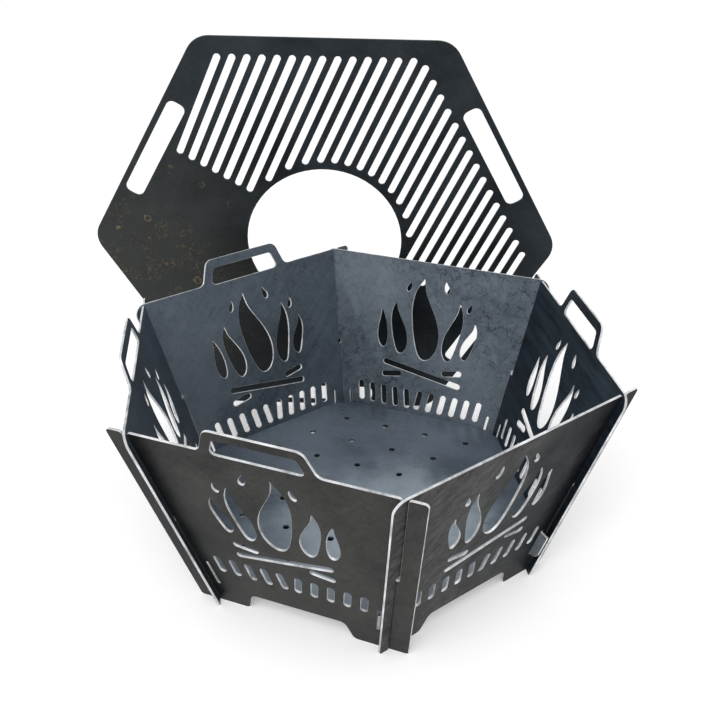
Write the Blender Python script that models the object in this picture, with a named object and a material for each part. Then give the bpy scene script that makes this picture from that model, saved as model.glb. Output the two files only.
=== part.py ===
"""Flat-pack steel fire pit with a drop-in base plate and a hexagonal cooking plate.

Six laser-cut side panels lean outward and cross at the corners in half laps.
The base plate lies on the sloping panels above the feet. The cooking plate
stands on the ground behind the pit, tipped a little to one side, with the ears
of the rear corner reaching through its pot hole, and leans on them.
Sizes are in metres, +Z is up, and the finished set is centred on the origin.
"""
import math

import bmesh
import bpy
from mathutils import Matrix, Vector
from mathutils.bvhtree import BVHTree

# Driving sizes of the pit
SIDES = 6
RIM_SIDE = 0.320
FOOT_SIDE = 0.228
PIT_HEIGHT = 0.283
SHEET = 0.003
GAP = 0.0003

# Ears, which run past the corner lines, and the half-lap slots
SLOTTED_EAR = 0.024
CLOSED_EAR = 0.016
SLOTTED_EAR_RADIUS = 0.005
CLOSED_EAR_RADIUS = 0.0145
TOE_RADIUS = 0.004
SLOT_MOUTH_RADIUS = 0.004
LAP_SHARE = 0.52
LAP_RELIEF = 0.0008

# Arch between the two feet of a panel
ARCH_HEIGHT = 0.030
ARCH_TOP_WIDTH = 0.122
ARCH_FOOT_WIDTH = 0.140
ARCH_TOP_RADIUS = 0.009
ARCH_FOOT_RADIUS = 0.007

# Handle tab on a rim
HANDLE_BASE_WIDTH = 0.136
HANDLE_TOP_WIDTH = 0.112
HANDLE_HEIGHT = 0.034
HANDLE_BAR = 0.0125
HANDLE_POST = 0.013
HANDLE_RADIUS = 0.012
HANDLE_FILLET = 0.010
HANDLE_WINDOW_DROP = 0.002
HANDLE_WINDOW_RADIUS = 0.006

# Row of vents and the slit at each end of it
VENT_LENGTH = 0.030
VENT_WIDTH = 0.0085
VENT_BOTTOM = 0.068
VENT_ROW_HALF = 0.0925
SLIT_LENGTH = 0.042
SLIT_WIDTH = 0.0036
SLIT_BOTTOM = 0.038
SLIT_INSET = 0.016

# Campfire cut-out: (root, width, height, lean, sway) of each tongue and spark
FLAME_TONGUES = (
    ((0.002, 0.147), 0.040, 0.122, 0.008, -0.016),
    ((-0.038, 0.151), 0.022, 0.088, -0.010, 0.008),
    ((0.0385, 0.151), 0.023, 0.078, 0.012, -0.006),
    ((-0.0635, 0.157), 0.016, 0.056, -0.010, 0.006),
    ((0.0645, 0.157), 0.016, 0.058, 0.008, 0.006),
)
FLAME_SPARKS = (
    ((-0.026, 0.252), 0.008, 0.017, 0.003, -0.001),
    ((0.034, 0.247), 0.007, 0.015, -0.003, 0.001),
    ((-0.062, 0.228), 0.007, 0.014, -0.002, 0.001),
)
FLAME_STATIONS = (0.015, 0.06, 0.14, 0.26, 0.40, 0.55, 0.70, 0.85, 0.985)
SPARK_STATIONS = (0.03, 0.15, 0.40, 0.70, 0.96)
FLAME_SCALE = 2.598
FLAME_TIP = 0.0016
LOG_CENTRE = 0.1255
LOG_HALF = 0.062
LOG_RISE = 0.021
LOG_WIDTH = 0.0085
LOG_WEB = 0.0035
LOG_GAP_SHARE = 4.1

# Base plate, held by the sloping panels
BASE_LEVEL = 0.0575
BASE_CORNER_CUT = 0.019
BASE_CORNER_RADIUS = 0.007
DRAIN_RINGS = 3
DRAIN_PITCH = 0.0625
DRAIN_DIAMETER = 0.008

# Cooking plate
COOK_SIDE = 0.3465
COOK_SHEET = 0.003
COOK_CORNER_RADIUS = 0.036
POT_HOLE_DIAMETER = 0.230
GRIP_LENGTH = 0.155
GRIP_WIDTH = 0.027
GRIP_RADIUS = 0.009
GRIP_EDGE_DISTANCE = 0.022
BAR_SLOT_WIDTH = 0.0098
BAR_SLOT_PITCH = 0.01855
BAR_TILT = math.radians(5.5)
BAR_SHIFT = 0.0162
BAR_GRIP_WEB = 0.008
BAR_TOP_MARGIN = 0.024
BAR_SIDE_MARGIN = 0.046
BAR_HOLE_MARGIN = 0.010
BAR_START = 0.012

# How the cooking plate stands behind the pit
COOK_TURN = math.radians(-9.0)
COOK_LEAN = math.radians(5.1)
COOK_TIP = math.radians(-1.5)
COOK_SHIFT = -0.0638

# Corner clip through one slit
CLIP_REACH_OUT = 0.013
CLIP_REACH_IN = 0.018
CLIP_RADIUS = 0.010
CLIP_TONGUE_RADIUS = 0.003

# Steps of a quarter turn on the different round stretches
FINE = 4
MEDIUM = 3
COARSE = 2
POT_HOLE_POINTS = 64

# Which way each panel faces, its two ends and its rim
PANELS = (
    ("panel_front_left", -120, "slotted", "slotted", True, (5, 5)),
    ("panel_front_right", -60, "closed", "slotted", False, (5, 5)),
    ("panel_right", 0, "closed", "slotted", True, (5, 5)),
    ("panel_back_right", 60, "closed", "closed", False, (6, 5)),
    ("panel_back_left", 120, "slotted", "closed", True, (5, 5)),
    ("panel_left", 180, "slotted", "closed", True, (5, 5)),
)
CLIP_PANEL_ANGLE = -60
GRIP_ANGLES = (150, 30, -30, -90)

# Values worked out from the sizes above
INRADIUS_SHARE = math.cos(math.pi / SIDES)
PANEL_RUN = (RIM_SIDE - FOOT_SIDE) * INRADIUS_SHARE
SLANT = math.hypot(PIT_HEIGHT, PANEL_RUN)
LEAN = math.atan2(PANEL_RUN, PIT_HEIGHT)
FLARE = (RIM_SIDE - FOOT_SIDE) / 2 / SLANT
GROUND_LIFT = SHEET / 2 * math.sin(LEAN)


def remove_start_objects():
    """Empties the scene that the script was started in."""
    for item in list(bpy.data.objects):
        bpy.data.objects.remove(item, do_unlink=True)


def steel(name, colour, roughness):
    """A plain steel finish as a Principled material."""
    finish = bpy.data.materials.new(name)
    finish.use_nodes = True
    shader = finish.node_tree.nodes["Principled BSDF"]
    shader.inputs["Base Color"].default_value = (*colour, 1.0)
    shader.inputs["Roughness"].default_value = roughness
    shader.inputs["Metallic"].default_value = 0.7
    return finish


def rounded(corners, steps=FINE):
    """Turns (x, y, radius) corners into points, with an arc at each radius."""
    points = []
    count = len(corners)
    for index, (x, y, radius) in enumerate(corners):
        here = Vector((x, y))
        if radius <= 0:
            points.append(here)
            continue
        before = (Vector(corners[index - 1][:2]) - here).normalized()
        after = (Vector(corners[(index + 1) % count][:2]) - here).normalized()
        opening = before.angle(after)
        middle = (before + after).normalized()
        centre = here + middle * (radius / math.sin(opening / 2))
        start = here + before * (radius / math.tan(opening / 2)) - centre
        sweep = math.pi - opening
        turn = 1 if before.cross(after) < 0 else -1
        arc_steps = max(1, round(steps * sweep / (math.pi / 2)))
        for step in range(arc_steps + 1):
            angle = turn * sweep * step / arc_steps
            points.append(centre + Matrix.Rotation(angle, 2) @ start)
    return points


def circle(centre, diameter, count):
    """Points of a round hole."""
    radius = diameter / 2
    turns = [2 * math.pi * (step + 0.5) / count for step in range(count)]
    return [centre + Vector((math.cos(t), math.sin(t))) * radius for t in turns]


def slot(start, end, width, steps=MEDIUM):
    """A slot with round ends whose tips lie at start and end."""
    along = (end - start).normalized()
    side = Vector((-along.y, along.x)) * (width / 2)
    corners = [start - side, end - side, end + side, start + side]
    return rounded([(p.x, p.y, width / 2) for p in corners], steps)


def spine_point(spine, t):
    """A point of a cubic curve and the direction square to the curve."""
    first, second, third, fourth = spine
    r = 1 - t
    place = first * r**3 + second * 3 * r * r * t + third * 3 * r * t * t + fourth * t**3
    run = (second - first) * r * r + (third - second) * 2 * r * t + (fourth - third) * t * t
    run.normalize()
    return place, Vector((-run.y, run.x))


def flame_tongue(root, width, height, lean, sway, stations=FLAME_STATIONS):
    """One flame tongue: a round root, a swaying body and a narrow round tip."""
    base = Vector(root)
    spine = (base, base + Vector((sway, 0.38 * height)),
             base + Vector((lean - sway, 0.66 * height)), base + Vector((lean, height)))
    left = []
    right = []
    for t in stations:
        place, side = spine_point(spine, t)
        half = max(FLAME_TIP / 2, width / 2 * FLAME_SCALE * math.sqrt(t) * (1 - t))
        left.append(place + side * half)
        right.append(place - side * half)
    return [base] + right + [spine[3]] + left[::-1]


def campfire_cut():
    """Cut-outs of a plain campfire: tongues of flame, sparks and crossed logs."""
    holes = [flame_tongue(*tongue) for tongue in FLAME_TONGUES]
    holes += [flame_tongue(*spark, SPARK_STATIONS) for spark in FLAME_SPARKS]
    low = LOG_CENTRE - LOG_RISE / 2
    high = LOG_CENTRE + LOG_RISE / 2
    bridge = LOG_WIDTH / 2 + LOG_WEB
    cross = Vector((LOG_HALF, LOG_RISE / 2)).normalized() * bridge
    middle = Vector((0, LOG_CENTRE))
    holes.append(slot(Vector((-LOG_HALF, low)), Vector((LOG_HALF, high)), LOG_WIDTH))
    left = Vector((-cross.x, cross.y)) * LOG_GAP_SHARE
    holes.append(slot(Vector((-LOG_HALF, high)), middle + left, LOG_WIDTH))
    holes.append(slot(middle - left, Vector((LOG_HALF, low)), LOG_WIDTH))
    return holes


def sheet_solid(name, outline, holes, thickness, finish, home):
    """Cuts a flat sheet: a filled 2D curve with holes, made a closed mesh."""
    flat = bpy.data.curves.new(name, "CURVE")
    flat.dimensions = "2D"
    flat.fill_mode = "BOTH"
    flat.extrude = thickness / 2
    for loop in [outline] + holes:
        spline = flat.splines.new("POLY")
        spline.points.add(len(loop) - 1)
        for point, place in zip(spline.points, loop):
            point.co = (place.x, place.y, 0, 1)
        spline.use_cyclic_u = True
    drawn = bpy.data.objects.new(name + "_outline", flat)
    home.objects.link(drawn)
    bpy.context.view_layer.update()
    evaluated = drawn.evaluated_get(bpy.context.evaluated_depsgraph_get())
    mesh = bpy.data.meshes.new_from_object(evaluated)
    mesh.name = name
    bpy.data.objects.remove(drawn, do_unlink=True)
    shape = bmesh.new()
    shape.from_mesh(mesh)
    bmesh.ops.remove_doubles(shape, verts=shape.verts, dist=0.00002)
    bmesh.ops.recalc_face_normals(shape, faces=shape.faces)
    shape.to_mesh(mesh)
    shape.free()
    mesh.materials.clear()
    mesh.materials.append(finish)
    piece = bpy.data.objects.new(name, mesh)
    home.objects.link(piece)
    return piece


def corner_offset(height):
    """Half the width of a panel between its corner lines, up its slope."""
    return FOOT_SIDE / 2 + FLARE * height


def lap_slot_width():
    """Slot width that clears a sheet crossing at the corner angle."""
    dot = math.cos(LEAN) ** 2 * math.cos(2 * math.pi / SIDES) + math.sin(LEAN) ** 2
    crossing = math.acos(dot)
    return SHEET / math.sin(crossing) + SHEET / math.tan(crossing) + 2 * GAP


def corner_frame():
    """The corner line's direction and its square direction, on a panel."""
    along = Vector((FLARE, 1)).normalized()
    return along, Vector((along.y, -along.x))


def end_corners(kind, toe_radius):
    """Right end of a panel from its foot to its rim, as (x, y, radius)."""
    along, across = corner_frame()
    half = lap_slot_width() / 2
    lap = SLANT * LAP_SHARE
    spread = half / across.x
    foot = corner_offset(0)
    rim = corner_offset(SLANT)
    if kind == "closed":
        end = Vector((corner_offset(lap), lap)) + along * (LAP_RELIEF + half)
        inner = end - across * half
        outer = end + across * half
        corners = [(foot - spread, 0, 0), (inner.x, inner.y, half), (outer.x, outer.y, half)]
        corners += [(foot + spread, 0, 0), (foot + CLOSED_EAR, 0, toe_radius)]
        corners += [(rim + CLOSED_EAR, SLANT, CLOSED_EAR_RADIUS)]
        return corners
    end = Vector((corner_offset(lap), lap)) - along * (LAP_RELIEF + half)
    inner = end - across * half
    outer = end + across * half
    corners = [(foot + SLOTTED_EAR, 0, toe_radius)]
    corners += [(rim + SLOTTED_EAR, SLANT, SLOTTED_EAR_RADIUS)]
    corners += [(rim + spread, SLANT, SLOT_MOUTH_RADIUS), (outer.x, outer.y, half)]
    corners += [(inner.x, inner.y, half), (rim - spread, SLANT, SLOT_MOUTH_RADIUS)]
    return corners


def handle_corners():
    """Right half of the handle tab, from its root to its top."""
    return [
        (HANDLE_BASE_WIDTH / 2, SLANT, HANDLE_FILLET),
        (HANDLE_TOP_WIDTH / 2, SLANT + HANDLE_HEIGHT, HANDLE_RADIUS),
    ]


def handle_window():
    """The finger opening of a handle."""
    low = SLANT - HANDLE_WINDOW_DROP
    high = SLANT + HANDLE_HEIGHT - HANDLE_BAR
    slope = (HANDLE_BASE_WIDTH - HANDLE_TOP_WIDTH) / 2 / HANDLE_HEIGHT
    low_half = HANDLE_BASE_WIDTH / 2 - HANDLE_POST + slope * HANDLE_WINDOW_DROP
    high_half = low_half - slope * (high - low)
    radius = HANDLE_WINDOW_RADIUS
    corners = [(-low_half, low, radius), (low_half, low, radius)]
    corners += [(high_half, high, radius), (-high_half, high, radius)]
    return rounded(corners, MEDIUM)


def mirrored(corners):
    """The same corners on the left side, in the opposite order."""
    return [(-x, y, radius) for x, y, radius in reversed(corners)]


def vent_row(left_count, right_count):
    """Vents in two groups, each parallel to its own corner line."""
    holes = []
    along = corner_frame()[0]
    step = 2 * VENT_ROW_HALF / (left_count + right_count - 1)
    centre_height = VENT_BOTTOM + VENT_LENGTH / 2
    for index in range(left_count + right_count):
        side = -1 if index < left_count else 1
        centre = Vector((-VENT_ROW_HALF + step * index, centre_height))
        reach = Vector((side * along.x, along.y)) * (VENT_LENGTH / 2)
        holes.append(slot(centre - reach, centre + reach, VENT_WIDTH))
    return holes


def slit_ends():
    """Lowest and highest point of the right-hand slit."""
    ends = []
    for height in (SLIT_BOTTOM, SLIT_BOTTOM + SLIT_LENGTH):
        ends.append(Vector((corner_offset(height) - SLIT_INSET, height)))
    return ends


def slits():
    """The slit at each end of the vent row."""
    low, high = slit_ends()
    holes = [slot(low, high, SLIT_WIDTH, COARSE)]
    holes.append(slot(Vector((-low.x, low.y)), Vector((-high.x, high.y)), SLIT_WIDTH, COARSE))
    return holes


def panel_outline(left, right, has_handle):
    """Outer edge of one panel, counter-clockwise from its arch."""
    arch = [
        (ARCH_TOP_WIDTH / 2, ARCH_HEIGHT, ARCH_TOP_RADIUS),
        (ARCH_FOOT_WIDTH / 2, 0, ARCH_FOOT_RADIUS),
    ]
    handle = handle_corners() if has_handle else []
    right_side = arch + end_corners(right, TOE_RADIUS) + handle
    left_side = mirrored(arch + end_corners(left, TOE_RADIUS) + handle)
    return rounded(right_side + left_side)


def panel_matrix(angle):
    """Stands a flat panel up: its outside faces angle and leans outward."""
    turn = math.radians(angle)
    outward = Vector((math.cos(turn), math.sin(turn), 0))
    along = Vector((-math.sin(turn), math.cos(turn), 0))
    up = Vector((0, 0, 1)) * math.cos(LEAN) + outward * math.sin(LEAN)
    place = Matrix((along, up, along.cross(up))).transposed().to_4x4()
    foot = outward * (FOOT_SIDE * INRADIUS_SHARE)
    place.translation = foot + Vector((0, 0, GROUND_LIFT))
    return place


def level_feet(piece):
    """Dresses the bottom edge of a panel level with the ground."""
    for vertex in piece.data.vertices:
        if abs(vertex.co.y) < GAP / 10:
            vertex.co.y = (vertex.co.z - SHEET / 2) * math.tan(LEAN)


def make_panel(name, angle, left, right, has_handle, vents, finish, home):
    """One side panel with all its cut-outs, standing in its place."""
    holes = vent_row(*vents) + slits() + campfire_cut()
    if has_handle:
        holes.append(handle_window())
    outline = panel_outline(left, right, has_handle)
    piece = sheet_solid(name, outline, holes, SHEET, finish, home)
    level_feet(piece)
    piece.matrix_world = panel_matrix(angle)
    return piece


def hexagon(side, cut, radius, first_angle):
    """Hexagon corners, each cut off square when cut is above zero."""
    corners = []
    for index in range(SIDES):
        turn = first_angle + 2 * math.pi * index / SIDES
        vertex = Vector((math.cos(turn), math.sin(turn))) * side
        if cut <= 0:
            corners.append((vertex.x, vertex.y, radius))
            continue
        for neighbour in (-1, 1):
            other = turn + neighbour * 2 * math.pi / SIDES
            towards = Vector((math.cos(other), math.sin(other))) * side - vertex
            point = vertex + towards.normalized() * cut
            corners.append((point.x, point.y, radius))
    return rounded(corners)


def wall_inradius(height):
    """Distance from the pit's axis to the inside of a panel."""
    middle = FOOT_SIDE * INRADIUS_SHARE + (height - GROUND_LIFT) * math.tan(LEAN)
    return middle - SHEET / 2 / math.cos(LEAN)


def drain_holes():
    """Round holes on a triangular lattice with a hexagonal outer ring."""
    holes = []
    for row in range(-DRAIN_RINGS, DRAIN_RINGS + 1):
        for column in range(-DRAIN_RINGS, DRAIN_RINGS + 1):
            if abs(row + column) > DRAIN_RINGS:
                continue
            x = column * DRAIN_PITCH * INRADIUS_SHARE
            y = (row + column / 2) * DRAIN_PITCH
            holes.append(circle(Vector((x, y)), DRAIN_DIAMETER, 10))
    return holes


def make_base_plate(finish, home):
    """The drop-in floor, just clear of the sloping panels."""
    side = (wall_inradius(BASE_LEVEL) - GAP) / INRADIUS_SHARE
    outline = hexagon(side, BASE_CORNER_CUT, BASE_CORNER_RADIUS, math.pi / SIDES)
    piece = sheet_solid("base_plate", outline, drain_holes(), SHEET, finish, home)
    piece.location = (0, 0, BASE_LEVEL + SHEET / 2)
    return piece


def bar_slots():
    """Slots of the grill half, a little steeper than the upper left edge."""
    edge = Vector((math.cos(math.pi / 3), math.sin(math.pi / 3)))
    edge_normal = Vector((edge.y, -edge.x))
    along = Matrix.Rotation(BAR_TILT, 2) @ edge
    across = Vector((along.y, -along.x))
    inradius = COOK_SIDE * INRADIUS_SHARE
    upright = Vector((0, 1))
    sideways = Vector((math.cos(math.pi / 6), math.sin(math.pi / 6)))
    clear_radius = POT_HOLE_DIAMETER / 2 + BAR_HOLE_MARGIN
    grip_line = inradius - GRIP_EDGE_DISTANCE - GRIP_WIDTH / 2 - BAR_GRIP_WEB - BAR_SLOT_WIDTH / 2
    drift = math.sin(BAR_TILT) * GRIP_LENGTH / 2
    count = math.floor((grip_line - drift + BAR_SHIFT) / BAR_SLOT_PITCH)
    holes = []
    for index in range(-count, count + 1):
        offset = across * (index * BAR_SLOT_PITCH + BAR_SHIFT)
        level = BAR_START
        if offset.dot(edge_normal) > grip_line:
            level = GRIP_LENGTH / 2 + BAR_GRIP_WEB
        start = (level - offset.dot(edge)) / along.dot(edge)
        if offset.length < clear_radius:
            start = max(start, math.sqrt(clear_radius**2 - offset.length**2))
        limits = []
        for normal, margin in ((upright, BAR_TOP_MARGIN), (sideways, BAR_SIDE_MARGIN)):
            limits.append((inradius - margin - offset.dot(normal)) / along.dot(normal))
        end = min(limits)
        if end - start > 2 * BAR_SLOT_WIDTH:
            holes.append(slot(offset + along * start, offset + along * end, BAR_SLOT_WIDTH))
    return holes


def grip_holes():
    """Long holes at four edges, which the pit's handles pass through."""
    holes = []
    distance = COOK_SIDE * INRADIUS_SHARE - GRIP_EDGE_DISTANCE
    for angle in GRIP_ANGLES:
        turn = math.radians(angle)
        normal = Vector((math.cos(turn), math.sin(turn)))
        edge = Vector((-normal.y, normal.x))
        corners = []
        for u, v in ((-1, -1), (1, -1), (1, 1), (-1, 1)):
            point = normal * (distance + v * GRIP_WIDTH / 2) + edge * (u * GRIP_LENGTH / 2)
            corners.append((point.x, point.y, GRIP_RADIUS))
        holes.append(rounded(corners, MEDIUM))
    return holes


def cook_axes():
    """Directions along the plate, up the plate and away from the pit."""
    along = Vector((math.cos(COOK_TURN), math.sin(COOK_TURN), 0))
    back = Vector((-math.sin(COOK_TURN), math.cos(COOK_TURN), 0))
    up = Vector((0, 0, 1)) * math.cos(COOK_LEAN) - back * math.sin(COOK_LEAN)
    away = back * math.cos(COOK_LEAN) + Vector((0, 0, 1)) * math.sin(COOK_LEAN)
    return along, up, back, away


def face_tree(piece, shift):
    """Search tree of a piece's faces, with the piece moved by shift."""
    shape = bmesh.new()
    shape.from_mesh(piece.data)
    shape.transform(Matrix.Translation(shift) @ piece.matrix_world)
    tree = BVHTree.FromBMesh(shape)
    shape.free()
    return tree


def free_slide(piece, direction, others):
    """How far a piece slides along direction before it meets the others."""
    trees = [face_tree(other, Vector((0, 0, 0))) for other in others]

    def meets(distance):
        moved = face_tree(piece, direction * distance)
        return any(moved.overlap(tree) for tree in trees)

    blocked = 0
    while blocked < RIM_SIDE and not meets(blocked):
        blocked += SHEET
    clear = blocked - SHEET
    while blocked - clear > GAP / 10:
        middle = (clear + blocked) / 2
        if meets(middle):
            blocked = middle
        else:
            clear = middle
    return clear


def make_cook_plate(panels, finish, home):
    """The grill and hot plate, pushed up to the pit until it leans on it."""
    holes = bar_slots() + grip_holes()
    holes.append(circle(Vector((0, 0)), POT_HOLE_DIAMETER, POT_HOLE_POINTS))
    outline = hexagon(COOK_SIDE, 0, COOK_CORNER_RADIUS, 0)
    piece = sheet_solid("cooking_plate", outline, holes, COOK_SHEET, finish, home)
    along, up, back, away = cook_axes()
    reach = max(
        away.dot(panel.matrix_world @ vertex.co)
        for panel in panels
        for vertex in panel.data.vertices
    )
    foot = along * COOK_SHIFT + back * ((reach + COOK_SHEET) / math.cos(COOK_LEAN))
    place = Matrix((along, up, -away)).transposed().to_4x4() @ Matrix.Rotation(COOK_TIP, 4, "Z")
    place.translation = foot + up * (COOK_SIDE * INRADIUS_SHARE)
    place.translation.z -= min((place @ vertex.co).z for vertex in piece.data.vertices)
    piece.matrix_world = place
    bpy.context.view_layer.update()
    push = free_slide(piece, -back, panels) - GAP / math.cos(COOK_LEAN)
    place.translation -= back * push
    piece.matrix_world = place
    return piece


def make_corner_clip(finish, home):
    """A flat clip through a slit, with a tongue below the base plate."""
    low, high = slit_ends()
    run = (high - low).normalized()
    place = panel_matrix(CLIP_PANEL_ANGLE)
    upward = (place.to_3x3() @ Vector((run.x, run.y, 0))).normalized()
    outward = place.to_3x3() @ Vector((0, 0, 1))
    start = place @ Vector((low.x, low.y, 0))
    bottom = SLIT_WIDTH / 2
    top = (high - low).length - SLIT_WIDTH / 2
    face = -SHEET / 2
    under_base = BASE_LEVEL - GAP

    def tongue_top(reach):
        return (under_base - start.z - outward.z * reach) / upward.z

    corners = [
        (CLIP_REACH_OUT, bottom, CLIP_RADIUS),
        (CLIP_REACH_OUT, top, 0),
        (face, top, 0),
        (face, tongue_top(face), 0),
        (-CLIP_REACH_IN, tongue_top(-CLIP_REACH_IN), CLIP_TONGUE_RADIUS),
        (-CLIP_REACH_IN, bottom, CLIP_TONGUE_RADIUS),
    ]
    piece = sheet_solid("corner_clip", rounded(corners), [], SLIT_WIDTH - 2 * GAP, finish, home)
    stand = Matrix((outward, upward, outward.cross(upward))).transposed().to_4x4()
    stand.translation = start
    piece.matrix_world = stand
    return piece


def centre_on_ground(pieces, home):
    """Parents the pieces to an empty that centres the set on the origin."""
    bpy.context.view_layer.update()
    places = [piece.matrix_world @ v.co for piece in pieces for v in piece.data.vertices]
    low = [min(place[axis] for place in places) for axis in range(3)]
    high = [max(place[axis] for place in places) for axis in range(3)]
    frame = bpy.data.objects.new("fire_pit_frame", None)
    home.objects.link(frame)
    for piece in pieces:
        piece.parent = frame
    frame.location = (-(low[0] + high[0]) / 2, -(low[1] + high[1]) / 2, -low[2])
    bpy.context.view_layer.update()
    print("pit axis at", [round(value, 5) for value in frame.location])
    print("size", [round(high[axis] - low[axis], 5) for axis in range(3)])


def build():
    """Makes the whole set."""
    remove_start_objects()
    home = bpy.data.collections.new("fire_pit")
    bpy.context.scene.collection.children.link(home)
    side_steel = steel("side_steel", (0.065, 0.066, 0.068), 0.5)
    base_steel = steel("base_steel", (0.12, 0.14, 0.17), 0.45)
    plate_steel = steel("plate_steel", (0.035, 0.040, 0.043), 0.55)
    clip_steel = steel("clip_steel", (0.10, 0.11, 0.12), 0.45)
    panels = [make_panel(*spec, side_steel, home) for spec in PANELS]
    bpy.context.view_layer.update()
    base = make_base_plate(base_steel, home)
    clip = make_corner_clip(clip_steel, home)
    cook = make_cook_plate(panels, plate_steel, home)
    centre_on_ground(panels + [base, clip, cook], home)


build()
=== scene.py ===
# %% [markdown]
# A flat-pack fire pit, dressed for its portrait. The real thing is nothing but
# steel sheet: six leaning side panels, a drop-in floor, a small corner clip and
# a hexagonal cooking plate that leans on the pit. The measured solids come from
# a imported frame, so this lesson never moves or resizes anything. It gives every
# sheet smooth cut curves, broken edges and the finish of hot-rolled steel.

# %% Load the frame
import math

import bmesh
import bpy
from mathutils import Matrix, Vector


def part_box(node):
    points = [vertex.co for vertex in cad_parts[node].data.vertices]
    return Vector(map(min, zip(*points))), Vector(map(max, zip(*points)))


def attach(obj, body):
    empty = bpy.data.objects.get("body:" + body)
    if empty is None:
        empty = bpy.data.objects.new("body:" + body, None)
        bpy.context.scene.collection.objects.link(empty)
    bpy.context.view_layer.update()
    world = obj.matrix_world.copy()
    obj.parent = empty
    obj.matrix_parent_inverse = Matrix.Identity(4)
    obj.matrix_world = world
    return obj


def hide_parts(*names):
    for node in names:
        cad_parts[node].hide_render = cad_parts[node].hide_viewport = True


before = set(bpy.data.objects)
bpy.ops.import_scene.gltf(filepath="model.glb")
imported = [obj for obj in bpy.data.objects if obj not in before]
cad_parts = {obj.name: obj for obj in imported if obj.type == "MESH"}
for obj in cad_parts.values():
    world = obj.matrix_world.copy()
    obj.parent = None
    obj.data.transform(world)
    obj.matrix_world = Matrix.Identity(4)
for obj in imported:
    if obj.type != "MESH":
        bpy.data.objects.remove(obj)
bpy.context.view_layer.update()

# %% [markdown]
# Everything in the picture is placed from the pit's own upright axis. The floor
# plate is a regular hexagon round that axis, so the middle of its box gives the
# axis, and its top gives the level on which a fire would be laid.

# %% Find the pit's axis
floor_low, floor_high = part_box("base_plate")
PIT_AXIS = Vector(((floor_low.x + floor_high.x) / 2, (floor_low.y + floor_high.y) / 2, 0))
FIRE_LEVEL = floor_high.z
print("pit axis", [round(value, 4) for value in PIT_AXIS])

# %% [markdown]
# The camera stands a metre in front of the pit, a little to the left, and looks
# down on it. A camera in Blender looks along its own negative Z, so its matrix
# is built from three directions: right, up, and back towards the viewer.

# %% Camera
CAMERA_FROM_AXIS = Vector((-0.1359, -1.0536, 0.8405))
CAMERA_AZIMUTH = math.radians(-7.2)
CAMERA_ELEVATION = math.radians(28.58)
CAMERA_ROLL = math.radians(-0.53)
SENSOR_MM = 36.0
FOCAL_MM = 48.41


def camera_matrix():
    """Camera directions from its azimuth, elevation and roll."""
    flat = math.cos(CAMERA_ELEVATION)
    back = Vector((math.sin(CAMERA_AZIMUTH) * flat, -math.cos(CAMERA_AZIMUTH) * flat,
                   math.sin(CAMERA_ELEVATION)))
    level = Vector((0, 0, 1)).cross(back).normalized()
    above = back.cross(level)
    right = level * math.cos(CAMERA_ROLL) + above * math.sin(CAMERA_ROLL)
    up = above * math.cos(CAMERA_ROLL) - level * math.sin(CAMERA_ROLL)
    matrix = Matrix((right, up, back)).transposed().to_4x4()
    matrix.translation = PIT_AXIS + CAMERA_FROM_AXIS
    return matrix


lens = bpy.data.cameras.new("camera")
lens.sensor_width = SENSOR_MM
lens.lens = FOCAL_MM
camera = bpy.data.objects.new("camera", lens)
camera.matrix_world = camera_matrix()
bpy.context.scene.collection.objects.link(camera)
bpy.context.scene.camera = camera
bpy.context.scene.view_settings.view_transform = "Standard"
print("camera at", [round(value, 3) for value in camera.matrix_world.translation])

# %% [markdown]
# Shader trees are easier to read when one small helper adds a node, sets its
# options and fills or links its inputs. A value that is a socket gets a link,
# and anything else is typed into the input.

# %% Node helper
def add_node(tree, kind, values=None, **options):
    """Adds one shader node and returns it."""
    made = tree.nodes.new(kind)
    for key, value in options.items():
        setattr(made, key, value)
    for key, value in (values or {}).items():
        if isinstance(value, bpy.types.NodeSocket):
            tree.links.new(value, made.inputs[key])
        else:
            made.inputs[key].default_value = value
    return made


def calc(tree, operation, first, second=0.0, clamp=False):
    """One Math node, returned as its result socket."""
    made = add_node(tree, "ShaderNodeMath", {0: first, 1: second}, operation=operation)
    made.use_clamp = clamp
    return made.outputs[0]


def blend_colour(tree, share, first, second, mode="MIX"):
    """One colour Mix node, returned as its result socket."""
    values = {0: share, 6: first, 7: second}
    made = add_node(tree, "ShaderNodeMix", values, data_type="RGBA", blend_type=mode)
    return made.outputs[2]


def ramp(tree, value, low, high, low_out=0.0, high_out=1.0):
    """A smooth step of a value between two limits."""
    values = {"Value": value, "From Min": low, "From Max": high,
              "To Min": low_out, "To Max": high_out}
    made = add_node(tree, "ShaderNodeMapRange", values, interpolation_type="SMOOTHSTEP")
    return made.outputs[0]


# %% [markdown]
# The studio is a pale floor under an even white sky, with one broad lamp in
# front and above. A bare steel sheet shows whatever it faces, so the sky is kept
# plain, and the lamp is large enough to leave only a soft shadow. The camera and
# the steel's reflections see the floor as white paper: a share of plain white
# light is mixed in for them alone, and the shadow stays. Under the pit that share
# fades out and a painted shadow darkens the floor's colour round a place a little
# behind the axis, so the drain holes look into painted shade and the front arches
# stay light.

# %% Floor, sky and lamp
FLOOR_SIZE = 40.0
SKY_LIGHT = 0.80
FLOOR_COLOUR = (0.86, 0.86, 0.865, 1)
FLOOR_GLOW = 0.30
UNDER_PIT_SHADOW_COLOUR = (0.05, 0.055, 0.06, 1)
UNDER_PIT_SHADOW_CENTRE = PIT_AXIS + Vector((0.010, 0.030, 0))
UNDER_PIT_SHADOW_REACH = (0.160, 0.200)
PAPER_ROUGHNESS = 0.9
LAMP_PLACE = PIT_AXIS + Vector((-0.9, -2.2, 2.6))
LAMP_TARGET = PIT_AXIS + Vector((0, 0.1, 0.2))
LAMP_SIZE = 1.8
LAMP_POWER = 46


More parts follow.
